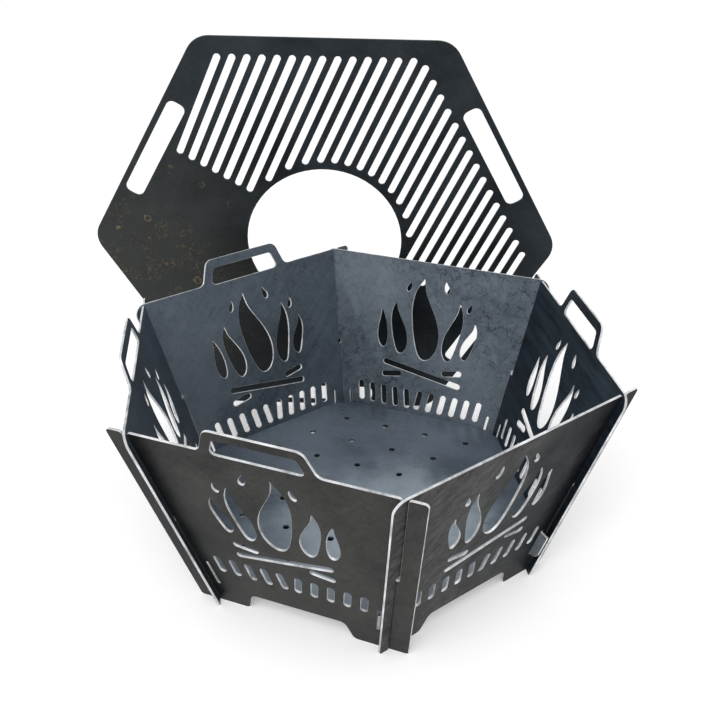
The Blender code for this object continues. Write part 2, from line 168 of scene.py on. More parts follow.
def make_floor():
    """The pale floor that the set stands on."""
    shape = bmesh.new()
    bmesh.ops.create_grid(shape, x_segments=2, y_segments=2, size=FLOOR_SIZE / 2)
    mesh = bpy.data.meshes.new("studio_floor")
    shape.to_mesh(mesh)
    shape.free()
    floor = bpy.data.objects.new("studio_floor", mesh)
    bpy.context.scene.collection.objects.link(floor)
    paint = bpy.data.materials.new("studio_floor_paint")
    paint.use_nodes = True
    tree = paint.node_tree
    shader = tree.nodes["Principled BSDF"]
    place = add_node(tree, "ShaderNodeTexCoord").outputs["Object"]
    # Painted shadow: the floor's own colour turns dark round a place under the pit, and the white
    # glow fades out there too.
    away = add_node(tree, "ShaderNodeVectorMath", {0: place, 1: tuple(UNDER_PIT_SHADOW_CENTRE)},
                    operation="DISTANCE")
    outside_pit_shadow = ramp(tree, away.outputs["Value"], *UNDER_PIT_SHADOW_REACH)
    colour = blend_colour(tree, outside_pit_shadow, UNDER_PIT_SHADOW_COLOUR, FLOOR_COLOUR)
    tree.links.new(colour, shader.inputs["Base Color"])
    shader.inputs["Roughness"].default_value = PAPER_ROUGHNESS
    shader.inputs["Specular IOR Level"].default_value = 0.0
    path = add_node(tree, "ShaderNodeLightPath")
    seen = calc(tree, "MAXIMUM", path.outputs["Is Camera Ray"], path.outputs["Is Glossy Ray"])
    share = calc(tree, "MULTIPLY", calc(tree, "MULTIPLY", seen, FLOOR_GLOW), outside_pit_shadow)
    glow = add_node(tree, "ShaderNodeEmission", {"Strength": share})
    both = add_node(tree, "ShaderNodeAddShader", {0: shader.outputs[0], 1: glow.outputs[0]})
    tree.links.new(both.outputs[0], tree.nodes["Material Output"].inputs["Surface"])
    mesh.materials.append(paint)
    return floor


def make_sky():
    """Even white surroundings, plain white where the camera sees them."""
    world = bpy.data.worlds.new("studio_sky")
    bpy.context.scene.world = world
    world.use_nodes = True
    tree = world.node_tree
    path = add_node(tree, "ShaderNodeLightPath")
    strength = add_node(tree, "ShaderNodeMapRange", {
        "Value": path.outputs["Is Camera Ray"], "To Min": SKY_LIGHT})
    sky = tree.nodes["Background"]
    sky.inputs["Color"].default_value = (1.0, 1.0, 1.0, 1)
    tree.links.new(strength.outputs[0], sky.inputs["Strength"])


def make_lamp(name, place, target, size, power):
    """A square area lamp that points from place to target."""
    light = bpy.data.lights.new(name, "AREA")
    light.size = size
    light.energy = power
    lamp = bpy.data.objects.new(name, light)
    lamp.matrix_world = (target - place).to_track_quat("-Z", "Y").to_matrix().to_4x4()
    lamp.matrix_world.translation = place
    bpy.context.scene.collection.objects.link(lamp)
    return lamp


make_floor()
make_sky()
make_lamp("front_lamp", LAMP_PLACE, LAMP_TARGET, LAMP_SIZE, LAMP_POWER)
print("floor, sky and lamp made")

# %% [markdown]
# A laser follows true curves, but a measured solid is made of short straight
# steps. To round them again, each cut is read from the solid's broad face as a
# closed loop of points, and every step that turns gently is divided along a
# smooth curve. A turn sharper than a drawn curve makes is a real corner and
# stays sharp.

# %% Read the cut lines of a sheet
CORNER_TURN = math.radians(50)
NEEDLE_TURN = math.radians(150)
STEP_TURN = math.radians(6)
STEP_SLACK = 0.2
WELD = 0.000002
SAME_WAY = 0.999
NEARLY_LEVEL = 0.9


def broad_face(mesh, towards):
    """Normal of the broadest flat side of a sheet that faces towards."""
    areas = {}
    for face in mesh.polygons:
        key = tuple(round(value, 2) for value in face.normal)
        total, direction = areas.get(key, (0.0, Vector()))
        areas[key] = (total + face.area, direction + face.normal * face.area)
    sides = sorted(areas.values(), key=lambda entry: entry[0])[-2:]
    facing = max(sides, key=lambda entry: entry[1].dot(towards))
    return facing[1].normalized()


def sheet_axes(normal):
    """Directions across, up and out of a sheet."""
    upright = Vector((0, 1, 0)) if abs(normal.z) > NEARLY_LEVEL else Vector((0, 0, 1))
    up = (upright - normal * upright.dot(normal)).normalized()
    return up.cross(normal), up, normal


def chain_loops(edges):
    """Closed rings of vertices along a set of edges."""
    beside = {}
    for edge in edges:
        for vertex in edge.verts:
            beside.setdefault(vertex, []).append(edge)
    left = set(edges)
    loops = []
    while left:
        edge = min(left, key=lambda item: item.index)
        start = here = edge.verts[0]
        ring = []
        while True:
            ring.append(here)
            left.discard(edge)
            here = edge.other_vert(here)
            if here == start:
                break
            edge = next(item for item in beside[here] if item in left)
        loops.append(ring)
    return loops


def cut_lines(node, towards):
    """Every cut of a sheet as flat points, with the sheet's place and thickness."""
    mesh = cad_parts[node].data
    across, up, out = sheet_axes(broad_face(mesh, towards))
    depths = [vertex.co.dot(out) for vertex in mesh.vertices]
    thickness = max(depths) - min(depths)
    place = Matrix((across, up, out)).transposed().to_4x4()
    place.translation = out * (max(depths) - thickness / 2)
    flat = place.inverted()
    shape = bmesh.new()
    shape.from_mesh(mesh)
    bmesh.ops.remove_doubles(shape, verts=shape.verts, dist=WELD)
    shape.edges.index_update()
    front = {face for face in shape.faces if face.normal.dot(out) > SAME_WAY}
    edges = [edge for edge in shape.edges if len(front.intersection(edge.link_faces)) == 1]
    loops = []
    for ring in chain_loops(edges):
        loops.append([(flat @ vertex.co).to_2d() for vertex in ring])
    shape.free()
    return loops, place, thickness


# %% [markdown]
# At a gentle point the curve's direction is the mean of its two steps, and the
# longer step counts for more, so that a straight run stays straight where an
# arc leaves it. Each step becomes a cubic curve between its two directions, with
# handles of the length that draws a true arc.

# %% Round the gentle steps
def turn_between(first, second):
    """Angle between two directions."""
    return first.angle(second) if first.length and second.length else 0.0


def directions(points):
    """The curve's direction at each point, or None at a corner."""
    found = []
    count = len(points)
    for index, here in enumerate(points):
        before = here - points[index - 1]
        after = points[(index + 1) % count] - here
        if turn_between(before, after) > CORNER_TURN:
            found.append(None)
            continue
        found.append((before + after).normalized())
    return found


def needle_at(points, index):
    """Whether the line turns almost straight back at a point."""
    count = len(points)
    here = points[index % count]
    before = here - points[(index - 1) % count]
    after = points[(index + 1) % count] - here
    return turn_between(before, after) > NEEDLE_TURN


def mirrored_direction(step, other):
    """The end direction of an arc along step that has the direction other at its far end."""
    along = step.normalized()
    return (along * (2 * other.dot(along)) - other).normalized()


def smooth_loop(points):
    """The same closed line with its gentle steps divided along curves."""
    found = directions(points)
    count = len(points)
    smooth = []
    for index, start in enumerate(points):
        end = points[(index + 1) % count]
        step = end - start
        leave, arrive = found[index], found[(index + 1) % count]
        smooth.append(start)
        if leave is None and arrive is None:
            continue
        if needle_at(points, index) or needle_at(points, index + 1):
            continue
        leave = mirrored_direction(step, arrive) if leave is None else leave
        arrive = mirrored_direction(step, leave) if arrive is None else arrive
        turn = turn_between(leave, arrive)
        pieces = math.ceil(turn / STEP_TURN - STEP_SLACK)
        if pieces < 2:
            continue
        handle = step.length / (3 * math.cos(turn / 4) ** 2)
        first = start + leave * handle
        second = end - arrive * handle
        for part in range(1, pieces):
            t = part / pieces
            s = 1 - t
            smooth.append(start * s**3 + first * (3 * s * s * t)
                          + second * (3 * s * t * t) + end * t**3)
    return smooth


# %% [markdown]
# A sheet is drawn as half of its thickness and mirrored. The flat face is filled
# between its loops, a narrow band is inset all round, and the outer edge of the
# band is pushed down, which breaks the sharp edge as a quick pass with a file
# does. The rim is then extruded to the middle of the sheet and mirrored there.
# The broad sides and the cut edges get separate material slots.

# %% Build a sheet from its cut lines
EDGE_BREAK = 0.00035
SHARP_EDGE = math.radians(28)
OUTSIDE, INSIDE, CUT = 0, 1, 2


def half_sheet(loops, half):
    """The upper half of a sheet, open at its middle plane."""
    shape = bmesh.new()
    for loop in loops:
        ring = [shape.verts.new((point.x, point.y, half)) for point in loop]
        for first, second in zip(ring, ring[1:] + ring[:1]):
            shape.edges.new((first, second))
    bmesh.ops.triangle_fill(shape, use_beauty=True, edges=shape.edges[:], normal=(0, 0, 1))
    bmesh.ops.inset_region(shape, faces=shape.faces[:], thickness=EDGE_BREAK,
                           use_boundary=True, use_even_offset=True)
    rim = [edge for edge in shape.edges if edge.is_boundary]
    for vertex in {vertex for edge in rim for vertex in edge.verts}:
        vertex.co.z = half - EDGE_BREAK
    wall = bmesh.ops.extrude_edge_only(shape, edges=rim)["geom"]
    for vertex in (item for item in wall if isinstance(item, bmesh.types.BMVert)):
        vertex.co.z = 0
    return shape


def cut_sheet(name, node, body, towards, finishes):
    """A finished sheet that stands for one CAD node."""
    loops, place, thickness = cut_lines(node, towards)
    shape = half_sheet([smooth_loop(loop) for loop in loops], thickness / 2)
    everything = shape.verts[:] + shape.edges[:] + shape.faces[:]
    bmesh.ops.mirror(shape, geom=everything, matrix=Matrix.Identity(4), axis="Z", merge_dist=WELD)
    bmesh.ops.remove_doubles(shape, verts=shape.verts, dist=WELD)
    bmesh.ops.recalc_face_normals(shape, faces=shape.faces)
    for face in shape.faces:
        face.smooth = True
        face.material_index = CUT
        if abs(face.normal.z) > SAME_WAY:
            face.material_index = OUTSIDE if face.normal.z > 0 else INSIDE
    shape.transform(place)
    mesh = bpy.data.meshes.new(name)
    shape.to_mesh(mesh)
    shape.free()
    mesh.set_sharp_from_angle(angle=SHARP_EDGE)
    for finish in finishes:
        mesh.materials.append(finish)
    piece = bpy.data.objects.new(name, mesh)
    bpy.context.scene.collection.objects.link(piece)
    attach(piece, body)
    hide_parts(node)
    print(name, len(mesh.polygons), "faces,", round(thickness * 1000, 2), "mm sheet")
    return piece


# %% [markdown]
# Hot-rolled steel leaves the mill with a thin skin of scale. It is cloudy at
# the size of a hand, broken into flakes at the size of a fingernail, and grainy
# up close. All the materials below share that skin, so it is one node group,
# and each material places it with its own sizes.

# %% Shader group: mill scale
def new_group(name, inputs, outputs):
    """An empty node group with named sockets, and its two end nodes."""
    group = bpy.data.node_groups.new(name, "ShaderNodeTree")
    for label, kind, value in inputs:
        socket = group.interface.new_socket(label, in_out="INPUT", socket_type=kind)
        if value is not None:
            socket.default_value = value
    for label in outputs:
        group.interface.new_socket(label, in_out="OUTPUT", socket_type="NodeSocketFloat")
    return group, group.nodes.new("NodeGroupInput"), group.nodes.new("NodeGroupOutput")


def mill_scale_group():
    """Clouds, flakes, broken cracks between flakes, and fine grain."""
    inputs = (("Vector", "NodeSocketVector", None), ("Cloud Scale", "NodeSocketFloat", 9.0),
              ("Flake Scale", "NodeSocketFloat", 90.0), ("Grain Scale", "NodeSocketFloat", 420.0))
    group, start, end = new_group("mill_scale", inputs, ("Clouds", "Flakes", "Cracks", "Grain"))
    vector = start.outputs["Vector"]
    clouds = add_node(group, "ShaderNodeTexNoise", {
        "Vector": vector, "Scale": start.outputs["Cloud Scale"], "Detail": 7.0,
        "Roughness": 0.62, "Distortion": 0.4})
    warp_scale = calc(group, "MULTIPLY", start.outputs["Flake Scale"], 0.8)
    warp = add_node(group, "ShaderNodeTexNoise", {
        "Vector": vector, "Scale": warp_scale, "Detail": 4.0, "Roughness": 0.7})
    reach = calc(group, "DIVIDE", 1.6, start.outputs["Flake Scale"])
    shift = add_node(group, "ShaderNodeVectorMath", {0: warp.outputs["Color"], "Scale": reach},
                     operation="SCALE")
    bent = add_node(group, "ShaderNodeVectorMath", {0: vector, 1: shift.outputs[0]},
                    operation="ADD")
    flakes = add_node(group, "ShaderNodeTexVoronoi", {
        "Vector": bent.outputs[0], "Scale": start.outputs["Flake Scale"], "Randomness": 1.0})
    gaps = add_node(group, "ShaderNodeTexVoronoi", {
        "Vector": bent.outputs[0], "Scale": start.outputs["Flake Scale"], "Randomness": 1.0},
        feature="DISTANCE_TO_EDGE")
    tone = add_node(group, "ShaderNodeSeparateColor", {0: flakes.outputs["Color"]})
    broken = ramp(group, warp.outputs["Fac"], 0.42, 0.60)
    lines = ramp(group, gaps.outputs["Distance"], 0.0, 0.10, 1.0, 0.0)
    grain = add_node(group, "ShaderNodeTexNoise", {
        "Vector": vector, "Scale": start.outputs["Grain Scale"], "Detail": 4.0, "Roughness": 0.75})
    group.links.new(clouds.outputs["Fac"], end.inputs["Clouds"])
    group.links.new(tone.outputs[0], end.inputs["Flakes"])
    group.links.new(calc(group, "MULTIPLY", lines, broken), end.inputs["Cracks"])
    group.links.new(grain.outputs["Fac"], end.inputs["Grain"])
    return group


MILL_SCALE = mill_scale_group()
print("groups", [group.name for group in bpy.data.node_groups])

# %% [markdown]
# The rolls and the sheets above and below leave fine lines that run one way.
# A noise stretched along one axis gives them. The vector that comes in has been
# turned already, so the lines run along its X.

# %% Shader group: rolling lines
def rolling_lines_group():
    """Soft streaks and a few thin scratches along X."""
    inputs = (("Vector", "NodeSocketVector", None), ("Streak Scale", "NodeSocketFloat", 60.0),
              ("Stretch", "NodeSocketFloat", 0.04))
    group, start, end = new_group("rolling_lines", inputs, ("Streaks", "Scratches"))
    factor = add_node(group, "ShaderNodeCombineXYZ", {0: start.outputs["Stretch"], 1: 1.0, 2: 1.0})
    long_way = add_node(group, "ShaderNodeVectorMath", {
        0: start.outputs["Vector"], 1: factor.outputs[0]}, operation="MULTIPLY")
    streaks = add_node(group, "ShaderNodeTexNoise", {
        "Vector": long_way.outputs[0], "Scale": start.outputs["Streak Scale"], "Detail": 5.0,
        "Roughness": 0.65})
    fine_scale = calc(group, "MULTIPLY", start.outputs["Streak Scale"], 9.0)
    fine = add_node(group, "ShaderNodeTexNoise", {
        "Vector": long_way.outputs[0], "Scale": fine_scale, "Detail": 1.0, "Roughness": 0.5})
    group.links.new(streaks.outputs["Fac"], end.inputs["Streaks"])
    group.links.new(ramp(group, fine.outputs["Fac"], 0.66, 0.74), end.inputs["Scratches"])
    return group


ROLLING_LINES = rolling_lines_group()

# %% [markdown]
# Smoke, handling and heat leave broad soft patches, densest near one place;
# the same patches also paint shade and light on some sheets.
# The group measures the distance to that place and breaks the patch up with
# noise, so its border isn't a clean circle.

# %% Shader group: soft patch
def soft_patch_group():
    """A ragged soft patch round a centre."""
    inputs = (("Vector", "NodeSocketVector", None), ("Centre", "NodeSocketVector", None),
              ("Reach", "NodeSocketFloat", 0.2), ("Raggedness", "NodeSocketFloat", 0.5))
    group, start, end = new_group("soft_patch", inputs, ("Patch",))
    away = add_node(group, "ShaderNodeVectorMath",
                    {0: start.outputs["Vector"], 1: start.outputs["Centre"]}, operation="DISTANCE")
    share = calc(group, "DIVIDE", away.outputs["Value"], start.outputs["Reach"])
    noise = add_node(group, "ShaderNodeTexNoise", {
        "Vector": start.outputs["Vector"], "Scale": 14.0, "Detail": 5.0, "Roughness": 0.6})
    ragged = calc(group, "MULTIPLY", calc(group, "SUBTRACT", noise.outputs["Fac"], 0.5),
                  calc(group, "MULTIPLY", start.outputs["Raggedness"], 2.0))
    group.links.new(ramp(group, calc(group, "ADD", share, ragged), 0.15, 1.0, 1.0, 0.0),
                    end.inputs["Patch"])
    return group


SOFT_PATCH = soft_patch_group()

# %% [markdown]
# Rust on the cooking plate starts as flecks, thin curls and small rings, where
# drops of water have dried. Rings come from a band of distances round scattered
# points, and curls follow the line on which a noise crosses its middle value.

# %% Shader group: rust rings
def rust_rings_group():
    """Broken rings, curls and flecks left by dried drops."""
    inputs = (("Vector", "NodeSocketVector", None), ("Ring Scale", "NodeSocketFloat", 60.0))
    group, start, end = new_group("rust_rings", inputs, ("Rings", "Curls", "Flecks"))
    vector = start.outputs["Vector"]
    warp = add_node(group, "ShaderNodeTexNoise", {"Vector": vector, "Scale": 160.0, "Detail": 4.0,
                                                  "Roughness": 0.7})
    shift = add_node(group, "ShaderNodeVectorMath", {0: warp.outputs["Color"], "Scale": 0.012},
                     operation="SCALE")
    bent = add_node(group, "ShaderNodeVectorMath", {0: vector, 1: shift.outputs[0]},
                    operation="ADD")
    drops = add_node(group, "ShaderNodeTexVoronoi", {
        "Vector": bent.outputs[0], "Scale": start.outputs["Ring Scale"], "Randomness": 1.0})
    tone = add_node(group, "ShaderNodeSeparateColor", {0: drops.outputs["Color"]})
    size = calc(group, "ADD", calc(group, "MULTIPLY", tone.outputs[1], 0.16), 0.10)
    offset = calc(group, "ABSOLUTE", calc(group, "SUBTRACT", drops.outputs["Distance"], size))
    band = ramp(group, offset, 0.0, 0.07, 1.0, 0.0)
    chosen = ramp(group, tone.outputs[0], 0.62, 0.72)
    broken = ramp(group, warp.outputs["Fac"], 0.38, 0.55)
    specks = add_node(group, "ShaderNodeTexNoise", {"Vector": vector, "Scale": 210.0, "Detail": 5.0,
                                                    "Roughness": 0.75})
    zones = add_node(group, "ShaderNodeTexNoise", {"Vector": vector, "Scale": 28.0, "Detail": 3.0})
    fleck = ramp(group, specks.outputs["Fac"], 0.56, 0.64)
    bends = add_node(group, "ShaderNodeTexNoise", {"Vector": vector, "Scale": 55.0, "Detail": 3.0,
                                                   "Roughness": 0.6, "Distortion": 1.2})
    off_line = calc(group, "ABSOLUTE", calc(group, "SUBTRACT", bends.outputs["Fac"], 0.5))
    curls = calc(group, "MULTIPLY", ramp(group, off_line, 0.004, 0.022, 1.0, 0.0),
                 ramp(group, warp.outputs["Fac"], 0.50, 0.58))
    rings = calc(group, "MULTIPLY", calc(group, "MULTIPLY", band, chosen), broken)
    group.links.new(rings, end.inputs["Rings"])
    group.links.new(calc(group, "MULTIPLY", curls, ramp(group, zones.outputs["Fac"], 0.42, 0.55)),
                    end.inputs["Curls"])
    group.links.new(calc(group, "MULTIPLY", fleck, ramp(group, zones.outputs["Fac"], 0.45, 0.62)),
                    end.inputs["Flecks"])
    return group


RUST_RINGS = rust_rings_group()

# %% [markdown]
# Every finish starts the same way: a Principled shader, Object coordinates, and
# a Mapping node that turns the pattern to lie along its own sheet. Placing a
# group, adding a bump and writing a colour are short helpers too.

# %% Start of a finish
RELIEF = 0.35
SIDE_DEPTH = 0.0004
EDGE_DEPTH = 0.0001


def start_finish(name, turn=(0, 0, 0), shift=(0, 0, 0)):
    """A new material with its tree, its shader and turned coordinates."""
    finish = bpy.data.materials.new(name)
    finish.use_nodes = True
    tree = finish.node_tree
    place = add_node(tree, "ShaderNodeTexCoord").outputs["Object"]
    turned = add_node(tree, "ShaderNodeMapping", {
        "Vector": place, "Location": shift, "Rotation": turn})
    return finish, tree, tree.nodes["Principled BSDF"], place, turned.outputs[0]


def use_group(tree, group, values):
    """One shared node group placed in a material."""
    return add_node(tree, "ShaderNodeGroup", values, node_tree=group).outputs


def bump(tree, shader, height, strength, distance):
    """Feeds a height into the shader's normal."""
    made = add_node(tree, "ShaderNodeBump", {
        "Height": height, "Strength": strength, "Distance": distance})
    tree.links.new(made.outputs[0], shader.inputs["Normal"])


def rgb(red, green, blue):
    """A colour from 8-bit display values, as linear light."""
    out = []
    for value in (red, green, blue):
        share = value / 255
        out.append(share / 12.92 if share <= 0.04045 else ((share + 0.055) / 1.055) ** 2.4)
    return (*out, 1)


# %% [markdown]
# All the patterns of a sheet add up to one number: half is its usual tone, more
# is paler and less is darker. A list of patterns and strengths says how much
# each one counts, and one mix of a dark and a pale colour turns the number into
# steel.

# %% Finish of a broad steel side
SIDE_CLOUD_SCALE = 8.0
SIDE_STREAK_SCALE = 150.0
SIDE_STRETCH = 0.06
SHADE_BORDER = (0.001, 0.003)
BLACK = (0, 0, 0, 1)


def add_up(tree, base, parts):
    """Base plus each pattern's distance from its middle times its strength."""
    total = base
    for pattern, middle, strength in parts:
        away = calc(tree, "SUBTRACT", pattern, middle)
        total = calc(tree, "ADD", total, calc(tree, "MULTIPLY", away, strength))
    return calc(tree, "ADD", total, 0.0, clamp=True)


def add_patches(tree, colour, place, patches):
    """Blends ragged soft patches of other tones over a colour."""
    for centre, reach, strength, tint in patches:
        patch = use_group(tree, SOFT_PATCH, {"Vector": place, "Centre": centre, "Reach": reach})
        colour = blend_colour(tree, calc(tree, "MULTIPLY", patch["Patch"], strength), colour, tint)
    return colour


def add_painted_shade(tree, colour, place, shade):
    """Painted shade: darkens a colour beyond a line, given by a point on it and the way across it.
    """
    point, direction, strength = shade
    ahead = add_node(tree, "ShaderNodeVectorMath", {0: place, 1: tuple(direction)},
                     operation="DOT_PRODUCT")
    start = Vector(point).dot(direction)
    before, after = SHADE_BORDER
    beyond = ramp(tree, ahead.outputs["Value"], start - before, start + after)
    return blend_colour(tree, calc(tree, "MULTIPLY", beyond, strength), colour, BLACK)


def steel_side(name, turn, dark, pale, patches=(), cloud=1.2, flake=0.10, crack=0.2, streak=0.5,
               grain=0.9, seed=0.0, rough=0.46, metal=0.5, shine=0.5, relief=RELIEF, shade=None):
    """Hot-rolled sheet: clouds, flakes, lines and soft patches on a turned sheet."""
    finish, tree, shader, place, turned = start_finish(name, turn, (seed, seed, 0))
    scale = use_group(tree, MILL_SCALE, {"Vector": turned, "Cloud Scale": SIDE_CLOUD_SCALE})
    lines = use_group(tree, ROLLING_LINES, {
        "Vector": turned, "Streak Scale": SIDE_STREAK_SCALE, "Stretch": SIDE_STRETCH})
    tone = add_up(tree, 0.5, (
        (scale["Clouds"], 0.5, cloud), (scale["Flakes"], 0.5, flake),
        (scale["Cracks"], 0.0, -crack),
        (lines["Streaks"], 0.5, streak), (lines["Scratches"], 0.0, streak * 0.25),
        (scale["Grain"], 0.5, grain)))
    colour = add_patches(tree, blend_colour(tree, tone, dark, pale), place, patches)
    colour = add_painted_shade(tree, colour, place, shade) if shade else colour
    tree.links.new(colour, shader.inputs["Base Color"])
    roughness = add_up(tree, rough, (
        (scale["Clouds"], 0.5, 0.45), (scale["Grain"], 0.5, 0.25),
        (lines["Streaks"], 0.5, 0.2)))
    tree.links.new(roughness, shader.inputs["Roughness"])
    shader.inputs["Metallic"].default_value = metal
    shader.inputs["Specular IOR Level"].default_value = shine
    height = add_up(tree, 0.5, (
        (scale["Grain"], 0.5, 0.6), (scale["Cracks"], 0.0, -0.3),
        (lines["Streaks"], 0.5, 0.6)))
    bump(tree, shader, height, relief, SIDE_DEPTH)
    return finish


# %% [markdown]
# A laser leaves a bright edge with fine grooves straight through the sheet. Its
# near-white tone, broken into bright and dull stretches along the edge, is also a
# painted highlight. The grooves are a noise that is long along the sheet's normal
# and short the other two ways, so the coordinates are turned until the normal
# lies along X.

# %% Finish of the cut edges
# The near-white end is partly the bare cut steel and partly a painted highlight.
EDGE_BARE_AND_HIGHLIGHT = rgb(252, 253, 255)
EDGE_DULL = rgb(104, 107, 109)
EDGE_BLACKENED = rgb(34, 37, 40)
EDGE_SOOTY = rgb(62, 65, 67)
GROOVE_SCALE = 900.0
GROOVE_STRETCH = 0.12
EDGE_CLOUD_SCALE = 34.0


def cut_edge(name, normal, dull=EDGE_DULL, bright=EDGE_BARE_AND_HIGHLIGHT):
    """Laser-cut edge with grooves through the sheet; its pale tone, broken along the edge, is by
    default partly a painted highlight.
    """
    turn = normal.to_track_quat("X", "Z").inverted().to_euler()
    finish, tree, shader, place, turned = start_finish(name, tuple(turn))
    lines = use_group(tree, ROLLING_LINES, {
        "Vector": turned, "Streak Scale": GROOVE_SCALE, "Stretch": GROOVE_STRETCH})
    scale = use_group(tree, MILL_SCALE, {"Vector": place, "Cloud Scale": EDGE_CLOUD_SCALE})
    # Clouds break the pale tone into bright and dull stretches along the edge: broken painted
    # highlights on the default edges.
    share = add_up(tree, 0.6, ((lines["Streaks"], 0.5, 0.8), (scale["Clouds"], 0.5, 2.2)))
    tree.links.new(blend_colour(tree, share, dull, bright), shader.inputs["Base Color"])
    tree.links.new(ramp(tree, share, 0.2, 0.9, 0.5, 0.32), shader.inputs["Roughness"])
    shader.inputs["Metallic"].default_value = 0.3
    bump(tree, shader, lines["Streaks"], RELIEF, EDGE_DEPTH)
    return finish


# %% [markdown]
# Now the six panels. No two sheets leave the mill alike, so each has its own
# dark and pale tone outside and inside and its own clouds; these tones also
# carry painted light and shade, paler inside the two rear panels and darker
# inside the right one. Each panel has its own marks too: painted shade beside
# the left panel's ear on the front left one, blue-black patches that darken the
# right end of the front right one, fine slanting lines outside the front right
# one and inside the right one, and crackled scale with a slanting painted shade
# inside the rear right one.

# %% Side panels
# Blue-black for soft patches on the two front panels: painted shade on the front left one, a darker
# right end on the front right one.
BLUE_BLACK_PATCH = rgb(22, 25, 31)
PALE_CLOUD = rgb(128, 138, 147)
WARM_STEEL = rgb(18, 18, 18), rgb(78, 78, 76)
BLUE_STEEL = rgb(40, 46, 54), rgb(92, 100, 110)
STREAK_SLOPE = math.radians(50)
FOOT_REACH = 0.198
LEAN_SLOPE = 0.28
OUTER_SHINE = 0.15
SEED_STEP = 1.7


def outward(angle):
    """Level direction in which a panel faces."""
    return Vector((math.cos(math.radians(angle)), math.sin(math.radians(angle)), 0))


def on_panel(angle, sideways, height):
    """A point on a panel, from its middle line and the ground."""
    facing = outward(angle)
    along = Vector((-facing.y, facing.x, 0))
    reach = FOOT_REACH + LEAN_SLOPE * height
    return tuple(PIT_AXIS + facing * reach + along * sideways + Vector((0, 0, height)))


# The tones below carry painted light and shade besides each sheet's own colour: the insides of the
# two rear panels are painted paler and the inside of the right one darker.
PANELS = {
    "panel_front_left": dict(
        angle=-120, outer=(rgb(17, 17, 16), rgb(69, 69, 67)), cloud=2.2,
        # Painted shade beside the left panel's ear, towards this panel's left end.
        outer_marks=((on_panel(-120, -0.17, 0.10), 0.13, 0.7, BLUE_BLACK_PATCH),
                     (on_panel(-120, -0.17, 0.22), 0.09, 0.6, BLUE_BLACK_PATCH))),
    "panel_front_right": dict(
        angle=-60, outer=(rgb(30, 31, 30), rgb(94, 95, 94)),
        # These darken the panel's right end.
        outer_marks=((on_panel(-60, 0.19, 0.22), 0.26, 0.85, BLUE_BLACK_PATCH),
                     (on_panel(-60, 0.17, 0.07), 0.24, 0.85, BLUE_BLACK_PATCH)),
        outer_shine=0.03, streak=1.8, cloud=1.3, metal=0.2),
    "panel_right": dict(
        angle=0, inner=(rgb(16, 25, 33), rgb(56, 71, 83)), inner_streak=2.2),
    "panel_back_right": dict(
        angle=60, inner=(rgb(50, 59, 69), rgb(122, 134, 145)), flake=0.20, crack=0.45,
        inner_marks=((on_panel(60, 0.10, 0.245), 0.09, 0.5, PALE_CLOUD),
                     (on_panel(60, 0.0, 0.18), 0.10, 0.35, PALE_CLOUD),
                     (on_panel(60, -0.09, 0.10), 0.10, 0.35, PALE_CLOUD)),
        # A slanting painted shade across part of this inside.
        inner_painted_shade=(on_panel(60, 0.093, 0.163), Vector((-0.805, 0.300, -0.511)), 0.16)),
    "panel_back_left": dict(
        angle=120, inner=(rgb(46, 55, 64), rgb(106, 118, 130)), cloud=1.0,
        inner_marks=((on_panel(120, 0.12, 0.17), 0.13, 0.35, PALE_CLOUD),)),
    "panel_left": dict(angle=180, inner=(rgb(36, 45, 54), rgb(92, 104, 116))),
}


def make_panel(node, seed, angle, outer=WARM_STEEL, inner=BLUE_STEEL, outer_marks=(),
               inner_marks=(), inner_painted_shade=None, outer_shine=OUTER_SHINE, streak=0.5,
               inner_streak=0.5, **strengths):
    """One side panel with its own finishes."""
    short = node.replace("panel_", "")
    turn = (0, STREAK_SLOPE, -math.radians(angle + 90))
    outside = steel_side("outside_" + short, turn, *outer, outer_marks, seed=seed,
                         shine=outer_shine, streak=streak, **strengths)
    inside = steel_side("inside_" + short, turn, *inner, inner_marks, seed=seed + 3,
                        shade=inner_painted_shade, streak=inner_streak, **strengths)
    lean = outward(angle) - Vector((0, 0, LEAN_SLOPE))
    edge = cut_edge("cut_edge_" + short, lean.normalized())
    return cut_sheet(short + "_side", node, "pit", outward(angle),
                     (outside, inside, edge))


for order, (node, details) in enumerate(PANELS.items()):
    make_panel(node, SEED_STEP * order, **details)

# %% [markdown]
# The floor lies flat and catches the sky, so it is the palest sheet: blue-grey,
# with pale clouds towards the front, fainter pale patches at the back that are
# painted light from the back panels' vents, and the soft streaks of the rolls.
# A table lists each patch's place, reach, strength and tint.

# %% Floor plate and corner clip
FLOOR_CLOUDS_AND_VENT_LIGHT = (
    ((-0.11, -0.12), 0.16, 0.6, rgb(150, 164, 176)),
    ((0.02, -0.09), 0.20, 0.9, rgb(178, 191, 202)),
    ((0.06, -0.07), 0.12, 0.9, rgb(186, 199, 210)),
    ((-0.04, -0.03), 0.08, 0.7, rgb(158, 171, 182)),
    # These two at the back are painted light from the back panels' vents.
    ((-0.06, 0.14), 0.14, 0.6, rgb(140, 153, 166)),
    ((0.08, 0.13), 0.12, 0.6, rgb(140, 153, 166)),
)
FLOOR_TURN = (0, 0, math.radians(25))
FLOOR_STEEL = rgb(64, 73, 83), rgb(118, 131, 144)
# Near black on the floor's cut edges: painted shade on the walls of the drain holes.
FLOOR_EDGE_PAINTED_SHADE = rgb(16, 18, 20), rgb(84, 89, 94)
CLIP_STEEL = rgb(66, 73, 80), rgb(138, 146, 153)
UPWARD = Vector((0, 0, 1))


